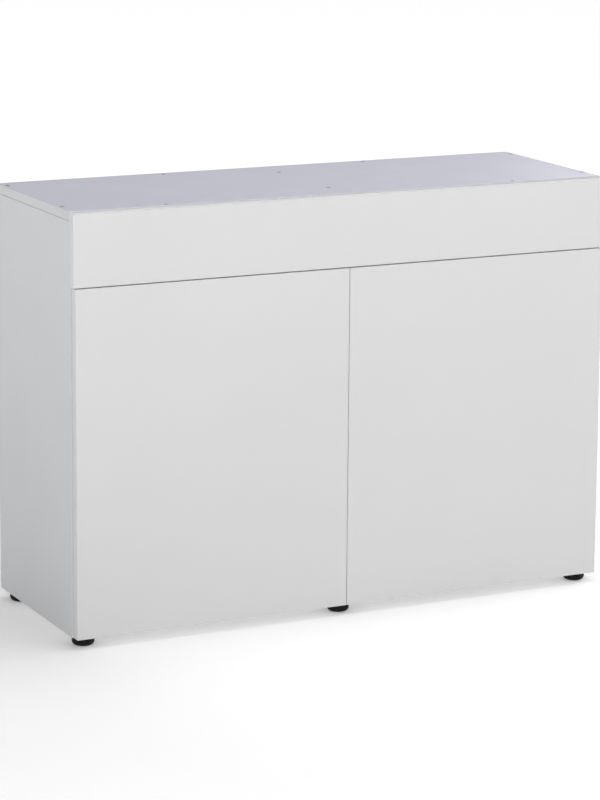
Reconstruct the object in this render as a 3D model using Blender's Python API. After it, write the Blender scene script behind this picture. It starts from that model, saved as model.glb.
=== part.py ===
"""Aquarium stand cabinet with two overlay doors, a fixed fascia and six levelling feet.

Metres, +Z up. The origin is on the floor, under the middle of the cabinet's outer box. +X runs to the
viewer's right along the front, and the front faces -Y. The doors are modelled shut.
"""
import math

import bmesh
import bpy
from mathutils import Matrix, Vector

MM = 0.001
TOUCH = 0.3 * MM              # air between two pieces that touch
REACH = 1 * MM                # how far a cutter runs past the face that it opens

# Sides of a turned piece
SMALL_SIDES = 16
PLUNGER_SIDES = 24
PAD_SIDES = 28
CUP_SIDES = 32

# Driving sizes of the carcass
WIDTH = 1200 * MM
CARCASS_DEPTH = 400 * MM
BOARD = 19 * MM
FOOT_HEIGHT = 21 * MM
BODY_HEIGHT = 857 * MM        # underside of the bottom panel to the top surface
EDGE_RADIUS = 0.5 * MM        # rounding of a board's edge band

# Front
DOOR_HEIGHT = 706 * MM
DOOR_INSET = 3 * MM           # door edge to the cabinet's outer side face
DOOR_SPLIT = 1.5 * MM         # air between the two doors
DOOR_STANDOFF = 2 * MM        # air between a shut door and the carcass
FASCIA_GAP = 2 * MM           # air between the doors and the fascia
FASCIA_DROP = 4 * MM          # top surface to the fascia's top edge

# Back and inside
BACK_THICKNESS = 8 * MM
CUTOUT_SIZE = (260 * MM, 110 * MM)
CUTOUT_RADIUS = 25 * MM
CORNER_STEPS = 5              # facets of a rounded corner
CUTOUT_BELOW_TOP = 200 * MM   # top surface to a cut-out's centre
FRONT_RAIL_HEIGHT = 155 * MM  # reaches down behind the fascia gap, where it stops the doors
REAR_RAIL_HEIGHT = 100 * MM
SHELF_LEVEL = 400 * MM        # floor to the shelf's underside
SHELF_SETBACK = 25 * MM
SHELF_SIDE_PLAY = 1 * MM
PIN_RADIUS = 2.5 * MM
PIN_LENGTH = 18 * MM
PIN_DEPTH = 8 * MM            # length of a shelf pin inside its panel
PIN_FROM_EDGE = 50 * MM       # shelf pin to the panel's front or rear edge

# Concealed hinge. Lengths along the door are from its hinge-side edge, depths are from its back face.
HINGE_FROM_DOOR_END = 100 * MM
PIVOT_FROM_EDGE = 6.5 * MM
PIVOT_DEPTH = 11.5 * MM
HINGE_PIN_RADIUS = 1.0 * MM
HINGE_PIN_HALF = 6.6 * MM
CUP_FROM_EDGE = 3 * MM
CUP_RADIUS = 17.5 * MM
CUP_WALL = 0.8 * MM
CUP_DEPTH = 14.5 * MM
FLANGE_THICKNESS = 1 * MM
FLANGE_FROM_EDGE = 3.2 * MM
FLANGE_WIDTH = 36.8 * MM
FLANGE_HALF_HEIGHT = 31 * MM
FLANGE_CORNER = 6 * MM
LUG_SPAN = (4.4 * MM, 7.5 * MM)
LUG_WIDTH = (5.0 * MM, 9.0 * MM)
LUG_DEPTH = 9 * MM
EYE_RADII = (1.15 * MM, 1.95 * MM)
EYE_MOUTH_DEG = 20
EYE_STEPS = 14
NECK_HALF_HEIGHT = 4 * MM
NECK_TOP = -0.2 * MM          # the neck's upper and lower faces, from the pivot towards the door's back
NECK_BOTTOM = -1.8 * MM
NECK_REACH = (13.7 * MM, 15.3 * MM)
NECK_IN_BODY = 2 * MM         # length of the neck's end inside the arm's body
PLATE_THICKNESS = 2 * MM
PLATE_START = 16 * MM         # from the carcass front
PLATE_LENGTH = 46 * MM
PLATE_BAR_HALF = 8 * MM
PLATE_WING = (13 * MM, 33 * MM)
PLATE_WING_HALF = 24 * MM
ARM_START = 3 * MM
ARM_LENGTH = 62 * MM
ARM_THICKNESS = 8 * MM
ARM_HALF_HEIGHT = 6.5 * MM
ARM_BEVEL = 1.2 * MM

# Push-to-open latch
LATCH_BELOW_DOOR_TOP = 34 * MM
LATCH_SIZE = 14 * MM
LATCH_LENGTH = 62 * MM
LATCH_SETBACK = 1 * MM
LATCH_BEVEL = 1.5 * MM
PLUNGER_RADIUS = 4 * MM
PLUNGER_LENGTH = 42 * MM
PLUNGER_CHAMFER = 0.8 * MM
PLUNGER_BORE_DEPTH = 52 * MM
PLUNGER_BORE_PLAY = 0.4 * MM

# Door bumper
BUMPER_RADIUS = 5 * MM
BUMPER_FROM_SPLIT = 28 * MM

# Levelling foot
PAD_RADIUS = 23 * MM
PAD_HEIGHT = 18.9 * MM
PAD_ROUND = 9 * MM
PAD_SHOULDER = 1.5 * MM
STEM_RADIUS = 5 * MM
STEM_TOP = 39 * MM
INSERT_RADIUS = 8 * MM
INSERT_FLANGE = (12 * MM, 1.5 * MM)
INSERT_BORE = 5.35 * MM
FOOT_FROM_SIDE = 31 * MM
FRONT_FOOT_FROM_FACE = 40 * MM
REAR_FOOT_FROM_BACK = 37 * MM

# Screws through the top panel
SCREW_HEAD = (5 * MM, 2 * MM)
SCREW_SHANK = (2.5 * MM, 42 * MM)
SIDE_SCREWS = (62 * MM, 361 * MM)      # from the carcass front
DIVIDER_SCREWS = (80 * MM, 313 * MM)

# Levels and planes that follow
DEPTH = CARCASS_DEPTH + DOOR_STANDOFF + BOARD
DOOR_FRONT = -DEPTH / 2
DOOR_BACK = DOOR_FRONT + BOARD
CARCASS_FRONT = DOOR_BACK + DOOR_STANDOFF
BACK = DEPTH / 2
BACK_PANEL_FACE = BACK - BACK_THICKNESS
INNER_REAR = BACK_PANEL_FACE - TOUCH
HALF_WIDTH = WIDTH / 2
SIDE_INNER = HALF_WIDTH - BOARD
HALF_BOARD = BOARD / 2
BASE = FOOT_HEIGHT
FLOOR_TOP = BASE + BOARD
TOP = BASE + BODY_HEIGHT
UNDER_TOP = TOP - BOARD
DOOR_TOP = BASE + DOOR_HEIGHT
PIVOT_X = HALF_WIDTH - DOOR_INSET - PIVOT_FROM_EDGE
PIVOT_Y = DOOR_BACK - PIVOT_DEPTH
HINGE_LEVELS = {"upper": DOOR_TOP - HINGE_FROM_DOOR_END, "lower": BASE + HINGE_FROM_DOOR_END}
SIDES = {"left": -1, "right": 1}

# Finishes: colour, roughness, metallic
FINISHES = {
    "white_board": ((0.80, 0.80, 0.80), 0.42, 0.0),
    "top_board": ((0.60, 0.60, 0.66), 0.38, 0.0),
    "back_board": ((0.72, 0.72, 0.71), 0.60, 0.0),
    "nickel": ((0.62, 0.61, 0.58), 0.28, 1.0),
    "zinc": ((0.52, 0.53, 0.55), 0.40, 1.0),
    "black_plastic": ((0.012, 0.012, 0.013), 0.45, 0.0),
    "grey_plastic": ((0.42, 0.43, 0.44), 0.50, 0.0),
    "clear_rubber": ((0.70, 0.71, 0.70), 0.35, 0.0),
}


def clear_scene():
    """Remove whatever objects the file opened with."""
    for obj in list(bpy.data.objects):
        bpy.data.objects.remove(obj, do_unlink=True)


def finish(kind):
    """The material of a finish, made on its first use."""
    material = bpy.data.materials.get(kind)
    if material is None:
        colour, roughness, metallic = FINISHES[kind]
        material = bpy.data.materials.new(kind)
        material.use_nodes = True
        shader = material.node_tree.nodes["Principled BSDF"]
        shader.inputs["Base Color"].default_value = (*colour, 1)
        shader.inputs["Roughness"].default_value = roughness
        shader.inputs["Metallic"].default_value = metallic
    return material


def place(name, bm, pivot=None):
    """Turn a mesh built in world coordinates into an object, parented to an empty where one is given."""
    bmesh.ops.recalc_face_normals(bm, faces=bm.faces)
    if pivot:
        bmesh.ops.translate(bm, verts=bm.verts, vec=-pivot.location)
    mesh = bpy.data.meshes.new(name)
    bm.to_mesh(mesh)
    bm.free()
    obj = bpy.data.objects.new(name, mesh)
    obj.parent = pivot
    bpy.context.collection.objects.link(obj)
    return obj


def piece(name, bm, kind, pivot=None, smooth=False):
    """One finished sub-part. Smooth pieces are round and keep their sharp edges."""
    obj = place(name, bm, pivot)
    obj.data.materials.append(finish(kind))
    if smooth:
        obj.data.shade_smooth()
        obj.data.set_sharp_from_angle(angle=math.radians(40))
    return obj


def axis_empty(name, location):
    """An empty on a joint's axis."""
    empty = bpy.data.objects.new(name, None)
    empty.location = location
    bpy.context.collection.objects.link(empty)
    return empty


def combine(obj, tool, operation):
    """Cut a tool mesh from a piece, or join it on, as a live Boolean."""
    helper = place(f"{obj.name}_{operation.lower()}_{len(obj.modifiers)}", tool, obj.parent)
    helper.hide_render = True
    helper.display_type = "WIRE"
    modifier = obj.modifiers.new(helper.name, "BOOLEAN")
    modifier.operation = operation
    modifier.object = helper


def box(low, high):
    """A box mesh between two corners."""
    bm = bmesh.new()
    bmesh.ops.create_cube(bm, size=1)
    low, high = Vector(low), Vector(high)
    bmesh.ops.scale(bm, verts=bm.verts, vec=high - low)
    bmesh.ops.translate(bm, verts=bm.verts, vec=(low + high) / 2)
    return bm


def turned(profile, sides, centre, axis="Z"):
    """Turn (radius, height) points about an axis through centre; both ends are closed with flat caps."""
    bm = bmesh.new()
    rings = []
    for radius, height in profile:
        angles = [math.tau * step / sides for step in range(sides)]
        rings.append([bm.verts.new((radius * math.cos(a), radius * math.sin(a), height)) for a in angles])
    for lower, upper in zip(rings, rings[1:]):
        for step in range(sides):
            after = (step + 1) % sides
            bm.faces.new((lower[step], lower[after], upper[after], upper[step]))
    bm.faces.new(rings[0])
    bm.faces.new(rings[-1])
    if axis == "Y":
        bmesh.ops.rotate(bm, verts=bm.verts, matrix=Matrix.Rotation(math.radians(-90), 3, "X"))
    if axis == "X":
        bmesh.ops.rotate(bm, verts=bm.verts, matrix=Matrix.Rotation(math.radians(90), 3, "Y"))
    bmesh.ops.translate(bm, verts=bm.verts, vec=centre)
    return bm


def rod(radius, low, high, sides, centre, axis="Z"):
    """A plain round bar from low to high along an axis through centre."""
    return turned([(radius, low), (radius, high)], sides, centre, axis)


def prism(outline, low, high):
    """Extrude an (x, y) outline from height low to height high."""
    bm = bmesh.new()
    base = bm.faces.new([bm.verts.new((x, y, low)) for x, y in outline])
    grown = bmesh.ops.extrude_face_region(bm, geom=[base])
    lifted = [item for item in grown["geom"] if isinstance(item, bmesh.types.BMVert)]
    bmesh.ops.translate(bm, verts=lifted, vec=(0, 0, high - low))
    return bm


def arc(centre, radius, start_deg, end_deg, steps):
    """Points along an arc, both ends included."""
    points = []
    for step in range(steps + 1):
        angle = math.radians(start_deg + (end_deg - start_deg) * step / steps)
        points.append((centre[0] + radius * math.cos(angle), centre[1] + radius * math.sin(angle)))
    return points


def rounded_rectangle(half_width, half_height, radius):
    """Outline of a rectangle with round corners, centred on the origin."""
    outline = []
    for start, (sx, sy) in zip((0, 90, 180, 270), ((1, 1), (-1, 1), (-1, -1), (1, -1))):
        corner = (sx * (half_width - radius), sy * (half_height - radius))
        outline += arc(corner, radius, start, start + 90, CORNER_STEPS)
    return outline


def stand_up(bm, y):
    """Turn a mesh drawn in the XY plane about X, so that it faces along Y at depth y."""
    bmesh.ops.rotate(bm, verts=bm.verts, matrix=Matrix.Rotation(math.radians(90), 3, "X"))
    bmesh.ops.translate(bm, verts=bm.verts, vec=(0, y, 0))


def board(name, low, high, kind="white_board", pivot=None):
    """A laminated board with slightly rounded edges."""
    obj = piece(name, box(low, high), kind, pivot)
    rounding = obj.modifiers.new("edge_band", "BEVEL")
    rounding.width = EDGE_RADIUS
    rounding.segments = 1
    rounding.limit_method = "ANGLE"
    return obj


def screw_places():
    """Every top screw's name, position and the board it holds."""
    places = []
    for side, sign in SIDES.items():
        for row, distance in zip(("front", "rear"), SIDE_SCREWS):
            x = sign * (HALF_WIDTH - HALF_BOARD)
            places.append((f"{side}_{row}", (x, CARCASS_FRONT + distance), f"{side}_side_panel"))
    for row, distance in zip(("front", "rear"), DIVIDER_SCREWS):
        places.append((f"centre_{row}", (0, CARCASS_FRONT + distance), "centre_divider"))
    return places


def foot_places():
    """Every foot's name and position on the floor."""
    places = []
    rows = {"front": DOOR_FRONT + FRONT_FOOT_FROM_FACE, "back": BACK - REAR_FOOT_FROM_BACK}
    for row, y in rows.items():
        for column, sign in (("left", -1), ("centre", 0), ("right", 1)):
            places.append((f"{row}_{column}", (sign * (HALF_WIDTH - FOOT_FROM_SIDE), y)))
    return places


def carcass():
    """Side panels, bottom, divider and top, cut for their screws and inserts."""
    boards = {}
    for side, sign in SIDES.items():
        outer, inner = sign * HALF_WIDTH, sign * SIDE_INNER
        boards[f"{side}_side_panel"] = board(
            f"{side}_side_panel",
            (min(outer, inner), CARCASS_FRONT, BASE),
            (max(outer, inner), BACK, UNDER_TOP - TOUCH),
        )
    boards["bottom_panel"] = board(
        "bottom_panel",
        (-SIDE_INNER + TOUCH, CARCASS_FRONT, BASE),
        (SIDE_INNER - TOUCH, INNER_REAR, FLOOR_TOP),
    )
    boards["centre_divider"] = board(
        "centre_divider",
        (-HALF_BOARD, CARCASS_FRONT, FLOOR_TOP + TOUCH),
        (HALF_BOARD, INNER_REAR, UNDER_TOP - TOUCH),
    )
    boards["top_panel"] = board(
        "top_panel",
        (-HALF_WIDTH, CARCASS_FRONT, UNDER_TOP),
        (HALF_WIDTH, BACK, TOP),
        "top_board",
    )
    return boards


def back_panel():
    """Thin back between the side panels, with a rounded cut-out for hoses and cables in each bay."""
    obj = board(
        "back_panel",
        (-SIDE_INNER + TOUCH, BACK_PANEL_FACE, BASE),
        (SIDE_INNER - TOUCH, BACK, UNDER_TOP - TOUCH),
        "back_board",
    )
    bay_centre = (SIDE_INNER + HALF_BOARD) / 2
    for sign in SIDES.values():
        outline = rounded_rectangle(CUTOUT_SIZE[0] / 2, CUTOUT_SIZE[1] / 2, CUTOUT_RADIUS)
        cutter = prism(outline, -BACK_THICKNESS, BACK_THICKNESS)
        stand_up(cutter, (BACK_PANEL_FACE + BACK) / 2)
        lift = (sign * bay_centre, 0, TOP - CUTOUT_BELOW_TOP)
        bmesh.ops.translate(cutter, verts=cutter.verts, vec=lift)
        combine(obj, cutter, "DIFFERENCE")


def rails():
    """Upright rails under the top panel, front and rear, in both bays."""
    rows = {
        "front": (CARCASS_FRONT, FRONT_RAIL_HEIGHT),
        "rear": (INNER_REAR - BOARD, REAR_RAIL_HEIGHT),
    }
    for row, (y, height) in rows.items():
        for side, sign in SIDES.items():
            ends = sorted((sign * (HALF_BOARD + TOUCH), sign * (SIDE_INNER - TOUCH)))
            board(
                f"{row}_rail_{side}",
                (ends[0], y, UNDER_TOP - TOUCH - height),
                (ends[1], y + BOARD, UNDER_TOP - TOUCH),
            )


def fascia():
    """Fixed front board above the doors, set on the carcass edges."""
    back = CARCASS_FRONT - TOUCH
    board(
        "front_fascia",
        (-HALF_WIDTH, back - BOARD, DOOR_TOP + FASCIA_GAP),
        (HALF_WIDTH, back, TOP - FASCIA_DROP),
    )


def shelf(boards):
    """Shelf in the right bay on four pins, which sit in holes in the divider and the side panel."""
    left = HALF_BOARD + SHELF_SIDE_PLAY
    right = SIDE_INNER - SHELF_SIDE_PLAY
    front = CARCASS_FRONT + SHELF_SETBACK
    board("shelf", (left, front, SHELF_LEVEL), (right, INNER_REAR - SHELF_SIDE_PLAY, SHELF_LEVEL + BOARD))
    level = SHELF_LEVEL - TOUCH - PIN_RADIUS
    rows = {"front": CARCASS_FRONT + PIN_FROM_EDGE, "rear": INNER_REAR - PIN_FROM_EDGE}
    walls = {"divider": (HALF_BOARD, 1, "centre_divider"), "side": (SIDE_INNER, -1, "right_side_panel")}
    for wall, (face, inward, host) in walls.items():
        for row, y in rows.items():
            centre = (face, y, level)
            ends = sorted((-inward * PIN_DEPTH, inward * (PIN_LENGTH - PIN_DEPTH)))
            pin = rod(PIN_RADIUS, ends[0], ends[1], SMALL_SIDES, centre, "X")
            piece(f"shelf_pin_{wall}_{row}", pin, "nickel", smooth=True)
            mouth = sorted((-inward * (PIN_DEPTH + TOUCH), inward * REACH))
            hole = rod(PIN_RADIUS + TOUCH, mouth[0], mouth[1], SMALL_SIDES, centre, "X")
            combine(boards[host], hole, "DIFFERENCE")


def top_screws(boards):
    """Screws with flush round heads, down through the top panel into the board below."""
    head_radius, head_height = SCREW_HEAD
    shank_radius, length = SCREW_SHANK
    head_top = TOP - TOUCH
    for name, (x, y), host in screw_places():
        profile = [
            (head_radius, head_top),
            (head_radius, head_top - head_height),
            (shank_radius, head_top - head_height),
            (shank_radius, head_top - length),
        ]
        axis_foot = (x, y, 0)
        piece(f"top_screw_{name}", turned(profile, SMALL_SIDES, axis_foot), "zinc", smooth=True)
        bore = rod(shank_radius + TOUCH, head_top - length - TOUCH, TOP + REACH, SMALL_SIDES, axis_foot)
        combine(boards[host], bore, "DIFFERENCE")
        stepped = turned(
            [
                (head_radius + TOUCH, TOP + REACH),
                (head_radius + TOUCH, head_top - head_height - TOUCH),
                (shank_radius + TOUCH, head_top - head_height - TOUCH),
                (shank_radius + TOUCH, UNDER_TOP - REACH),
            ],
            SMALL_SIDES,
            axis_foot,
        )
        combine(boards["top_panel"], stepped, "DIFFERENCE")


def door(side, sign, pivot):
    """Overlay door with two cup bores in its back."""
    ends = sorted((sign * DOOR_SPLIT / 2, sign * (HALF_WIDTH - DOOR_INSET)))
    obj = board(
        f"{side}_door", (ends[0], DOOR_FRONT, BASE), (ends[1], DOOR_BACK, DOOR_TOP), pivot=pivot
    )
    for level in HINGE_LEVELS.values():
        bore = rod(CUP_RADIUS + TOUCH, -CUP_DEPTH - TOUCH, REACH, CUP_SIDES, cup_centre(sign, level), "Y")
        combine(obj, bore, "DIFFERENCE")


def cup_centre(sign, level):
    """Middle of a hinge cup's mouth, on the door's back face."""
    x = sign * (HALF_WIDTH - DOOR_INSET - CUP_FROM_EDGE - CUP_RADIUS)
    return (x, DOOR_BACK, level)


def hinge_cup(name, sign, level, pivot):
    """Round cup in the door with a screw flange, and two lugs that hold the hinge pin's ends."""
    edge = HALF_WIDTH - DOOR_INSET
    centre = cup_centre(sign, level)
    flange_x = sign * (edge - FLANGE_FROM_EDGE - FLANGE_WIDTH / 2)
    outline = rounded_rectangle(FLANGE_WIDTH / 2, FLANGE_HALF_HEIGHT, FLANGE_CORNER)
    flange = prism(outline, 0, FLANGE_THICKNESS)
    stand_up(flange, DOOR_BACK + TOUCH + FLANGE_THICKNESS)
    bmesh.ops.translate(flange, verts=flange.verts, vec=(flange_x, 0, level))
    obj = piece(name, flange, "nickel", pivot, smooth=True)
    mid_flange = TOUCH + FLANGE_THICKNESS / 2
    combine(obj, rod(CUP_RADIUS, -CUP_DEPTH, mid_flange, CUP_SIDES, centre, "Y"), "UNION")
    mouth = TOUCH + FLANGE_THICKNESS + REACH
    inside = rod(CUP_RADIUS - CUP_WALL, -CUP_DEPTH + CUP_WALL, mouth, CUP_SIDES, centre, "Y")
    combine(obj, inside, "DIFFERENCE")
    lug_x = sorted(sign * (edge - width) for width in LUG_WIDTH)
    lug_floor = DOOR_BACK - CUP_DEPTH + CUP_WALL / 2
    for way in (-1, 1):
        lug_z = sorted(level + way * span for span in LUG_SPAN)
        lug = box((lug_x[0], lug_floor, lug_z[0]), (lug_x[1], DOOR_BACK - LUG_DEPTH, lug_z[1]))
        combine(obj, lug, "UNION")
    pin_hole = HINGE_PIN_HALF + TOUCH
    middle = (sign * PIVOT_X, PIVOT_Y, level)
    bore = rod(HINGE_PIN_RADIUS + TOUCH, -pin_hole, pin_hole, SMALL_SIDES, middle)
    combine(obj, bore, "DIFFERENCE")


def arm_outline():
    """The gooseneck from above, with +x away from the pivot and +y towards the cabinet.

    An open eye wraps the pin, a neck runs along the cup's floor and turns out of the cup.
    """
    inner, outer = EYE_RADII
    lip = math.degrees(math.asin(NECK_TOP / inner))
    root = math.degrees(math.asin(NECK_BOTTOM / outer))
    back = CARCASS_FRONT - PIVOT_Y + ARM_START + NECK_IN_BODY
    outline = [(NECK_REACH[1], NECK_BOTTOM), (NECK_REACH[1], back)]
    outline += [(NECK_REACH[0], back), (NECK_REACH[0], NECK_TOP)]
    outline += arc((0, 0), inner, lip, EYE_MOUTH_DEG - 360, EYE_STEPS)
    outline += arc((0, 0), outer, EYE_MOUTH_DEG - 360, root, EYE_STEPS)
    return outline


def hinge_arm(name, sign, level):
    """Gooseneck arm: its eye turns on the pin, its body lies on the mounting plate."""
    outline = [(sign * (PIVOT_X - x), PIVOT_Y + y) for x, y in arm_outline()]
    neck = prism(outline, level - NECK_HALF_HEIGHT, level + NECK_HALF_HEIGHT)
    obj = piece(name, neck, "nickel", smooth=True)
    face = SIDE_INNER - 2 * TOUCH - PLATE_THICKNESS
    across = sorted((sign * face, sign * (face - ARM_THICKNESS)))
    start = CARCASS_FRONT + ARM_START
    low = (across[0], start, level - ARM_HALF_HEIGHT)
    high = (across[1], start + ARM_LENGTH, level + ARM_HALF_HEIGHT)
    body = box(low, high)
    bmesh.ops.bevel(body, geom=body.edges, offset=ARM_BEVEL, segments=1, affect="EDGES")
    combine(obj, body, "UNION")


def mounting_plate(name, sign, level):
    """Cross-shaped plate on the side panel's inner face."""
    bar, wing = PLATE_BAR_HALF, PLATE_WING_HALF
    near, far = PLATE_WING
    half = [(0, bar), (near, bar), (near, wing), (far, wing), (far, bar), (PLATE_LENGTH, bar)]
    outline = half + [(x, -y) for x, y in reversed(half)]
    bm = prism(outline, 0, PLATE_THICKNESS)
    outer = sign * (SIDE_INNER - TOUCH)
    for vert in bm.verts:
        along, up, thick = vert.co
        vert.co = (outer - sign * thick, CARCASS_FRONT + PLATE_START + along, level + up)
    piece(name, bm, "nickel")


def hinges(side, sign, pivot):
    """The two hinges of one door."""
    for row, level in HINGE_LEVELS.items():
        hinge_cup(f"{side}_{row}_hinge_cup", sign, level, pivot)
        hinge_arm(f"{side}_{row}_hinge_arm", sign, level)
        mounting_plate(f"{side}_{row}_hinge_plate", sign, level)
        middle = (sign * PIVOT_X, PIVOT_Y, level)
        pin = rod(HINGE_PIN_RADIUS, -HINGE_PIN_HALF, HINGE_PIN_HALF, SMALL_SIDES, middle)
        piece(f"{side}_{row}_hinge_pin", pin, "nickel", pivot, smooth=True)


def bumper(side, sign, pivot):
    """Soft disc on the door's back at its lower free corner, facing the bottom panel's edge."""
    centre = (sign * BUMPER_FROM_SPLIT, DOOR_BACK, BASE + HALF_BOARD)
    disc = rod(BUMPER_RADIUS, TOUCH, DOOR_STANDOFF - TOUCH, SMALL_SIDES, centre, "Y")
    piece(f"{side}_door_bumper", disc, "clear_rubber", pivot, smooth=True)


def latch(side, sign):
    """Push-to-open latch beside the divider: a bored housing and its sprung plunger."""
    half = LATCH_SIZE / 2
    centre_x = sign * (HALF_BOARD + TOUCH + half)
    level = DOOR_TOP - LATCH_BELOW_DOOR_TOP
    front = CARCASS_FRONT + LATCH_SETBACK
    low = (centre_x - half, front, level - half)
    high = (centre_x + half, front + LATCH_LENGTH, level + half)
    body = box(low, high)
    bmesh.ops.bevel(body, geom=body.edges, offset=LATCH_BEVEL, segments=2, affect="EDGES")
    housing = piece(f"{side}_latch_housing", body, "grey_plastic")
    mouth = (centre_x, front, level)
    bore_radius = PLUNGER_RADIUS + PLUNGER_BORE_PLAY
    bore = rod(bore_radius, -REACH, PLUNGER_BORE_DEPTH, PLUNGER_SIDES, mouth, "Y")
    combine(housing, bore, "DIFFERENCE")
    tip = axis_empty(f"{side}_latch_axis", (centre_x, DOOR_BACK + TOUCH, level))
    profile = [
        (PLUNGER_RADIUS - PLUNGER_CHAMFER, 0),
        (PLUNGER_RADIUS, PLUNGER_CHAMFER),
        (PLUNGER_RADIUS, PLUNGER_LENGTH),
    ]
    plunger = turned(profile, PLUNGER_SIDES, tip.location, "Y")
    piece(f"{side}_latch_plunger", plunger, "grey_plastic", tip, smooth=True)


def pad_profile():
    """Foot pad and stem from the flat sole up, as (radius, height)."""
    sole = arc((PAD_RADIUS - PAD_ROUND, PAD_ROUND), PAD_ROUND, -90, 0, CORNER_STEPS)
    rim = [(PAD_RADIUS, PAD_HEIGHT - PAD_SHOULDER), (PAD_RADIUS - PAD_SHOULDER, PAD_HEIGHT)]
    stem = [(STEM_RADIUS, PAD_HEIGHT), (STEM_RADIUS, STEM_TOP)]
    return sole + rim + stem


def levelling_foot(name, x, y, bottom_panel):
    """Round foot on a screw stem, and the flanged insert it screws into."""
    axis = axis_empty(f"{name}_foot_axis", (x, y, 0))
    pad = turned(pad_profile(), PAD_SIDES, axis.location)
    piece(f"{name}_foot", pad, "black_plastic", axis, smooth=True)
    flange_radius, flange_height = INSERT_FLANGE
    under = BASE - TOUCH
    profile = [
        (flange_radius, under - flange_height),
        (flange_radius, under),
        (INSERT_RADIUS, under),
        (INSERT_RADIUS, FLOOR_TOP - TOUCH),
    ]
    body = turned(profile, SMALL_SIDES, axis.location)
    insert = piece(f"{name}_foot_insert", body, "zinc", smooth=True)
    bore = rod(INSERT_BORE, 0, FLOOR_TOP + REACH, SMALL_SIDES, axis.location)
    combine(insert, bore, "DIFFERENCE")
    hole = rod(INSERT_RADIUS + TOUCH, BASE - REACH, FLOOR_TOP + REACH, SMALL_SIDES, axis.location)
    combine(bottom_panel, hole, "DIFFERENCE")


def cabinet():
    """Build every sub-part."""
    boards = carcass()
    back_panel()
    rails()
    fascia()
    shelf(boards)
    top_screws(boards)
    for side, sign in SIDES.items():
        pivot = axis_empty(f"{side}_door_axis", (sign * PIVOT_X, PIVOT_Y, 0))
        door(side, sign, pivot)
        hinges(side, sign, pivot)
        bumper(side, sign, pivot)
        latch(side, sign)
    for name, (x, y) in foot_places():
        levelling_foot(name, x, y, boards["bottom_panel"])


clear_scene()
cabinet()
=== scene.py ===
"""Looks of the aquarium stand cabinet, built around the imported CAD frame.

Most boards stay CAD nodes and get laminate materials. The top and back panels are copies of their CAD
shapes with pockets for screws. Fittings, feet, screws and trims are finer pieces that stand for their
CAD nodes or ride beside them.
"""

import math

import bmesh
import bpy
from mathutils import Matrix, Quaternion, Vector


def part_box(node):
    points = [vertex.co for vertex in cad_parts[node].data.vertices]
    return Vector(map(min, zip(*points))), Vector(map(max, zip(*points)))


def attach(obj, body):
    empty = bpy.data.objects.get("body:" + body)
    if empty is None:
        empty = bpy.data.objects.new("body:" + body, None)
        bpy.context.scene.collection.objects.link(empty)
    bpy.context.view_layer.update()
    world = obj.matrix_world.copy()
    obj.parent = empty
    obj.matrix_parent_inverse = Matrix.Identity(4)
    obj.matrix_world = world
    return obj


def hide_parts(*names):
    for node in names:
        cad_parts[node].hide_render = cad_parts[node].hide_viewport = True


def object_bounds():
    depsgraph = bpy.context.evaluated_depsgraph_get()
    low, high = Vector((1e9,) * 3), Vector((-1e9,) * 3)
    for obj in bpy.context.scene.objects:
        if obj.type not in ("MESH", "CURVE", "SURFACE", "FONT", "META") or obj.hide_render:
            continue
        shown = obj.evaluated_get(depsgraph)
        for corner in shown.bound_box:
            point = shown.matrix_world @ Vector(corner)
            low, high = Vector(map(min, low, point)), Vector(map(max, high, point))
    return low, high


MM = 0.001
CARCASS = "carcass"
SIDES = {"left": -1, "right": 1}
HINGE_ROWS = ("upper", "lower")

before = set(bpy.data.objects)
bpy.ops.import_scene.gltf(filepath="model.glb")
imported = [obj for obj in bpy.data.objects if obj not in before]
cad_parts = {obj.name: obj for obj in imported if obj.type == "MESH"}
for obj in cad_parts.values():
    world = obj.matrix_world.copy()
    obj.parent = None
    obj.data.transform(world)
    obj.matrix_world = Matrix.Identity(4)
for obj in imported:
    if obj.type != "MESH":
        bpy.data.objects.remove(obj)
CAD_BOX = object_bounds()
SIDE_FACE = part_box("right_side_panel")[0].x


# ---------------------------------------------------------------------------------------------- mesh

def make_object(name, bm, material, smooth_angle=35):
    """Turn a bmesh into a linked object with one material; edges sharper than the angle stay sharp."""
    bmesh.ops.remove_doubles(bm, verts=bm.verts, dist=1e-7)
    bmesh.ops.recalc_face_normals(bm, faces=bm.faces)
    mesh = bpy.data.meshes.new(name)
    bm.to_mesh(mesh)
    bm.free()
    mesh.shade_smooth()
    mesh.set_sharp_from_angle(angle=math.radians(smooth_angle))
    mesh.materials.append(material)
    obj = bpy.data.objects.new(name, mesh)
    bpy.context.scene.collection.objects.link(obj)
    return obj


def merged(*parts):
    """One bmesh holding several."""
    whole = bmesh.new()
    for part in parts:
        mesh = bpy.data.meshes.new("part")
        part.to_mesh(mesh)
        part.free()
        whole.from_mesh(mesh)
        bpy.data.meshes.remove(mesh)
    return whole


def lathe(profile, sides, centre=(0, 0, 0), axis="Z", closed=False):
    """Turn (radius, height) points about an axis. A closed profile makes a ring, an open one a solid."""
    bm = bmesh.new()
    rings = []
    for radius, height in profile:
        count = sides if radius > 0 else 1
        turn = [math.tau * step / sides for step in range(count)]
        rings.append([bm.verts.new((radius * math.cos(a), radius * math.sin(a), height)) for a in turn])
    pairs = list(zip(rings, rings[1:]))
    if closed:
        pairs.append((rings[-1], rings[0]))
    for lower, upper in pairs:
        for step in range(sides):
            after = step + 1
            corners = [lower[step % len(lower)], lower[after % len(lower)]]
            corners += [upper[after % len(upper)], upper[step % len(upper)]]
            bm.faces.new(list(dict.fromkeys(corners)))
    if not closed:
        for ring in (rings[0], rings[-1]):
            if len(ring) > 1:
                bm.faces.new(ring)
    orient(bm, axis)
    bmesh.ops.translate(bm, verts=bm.verts, vec=centre)
    return bm


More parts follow.
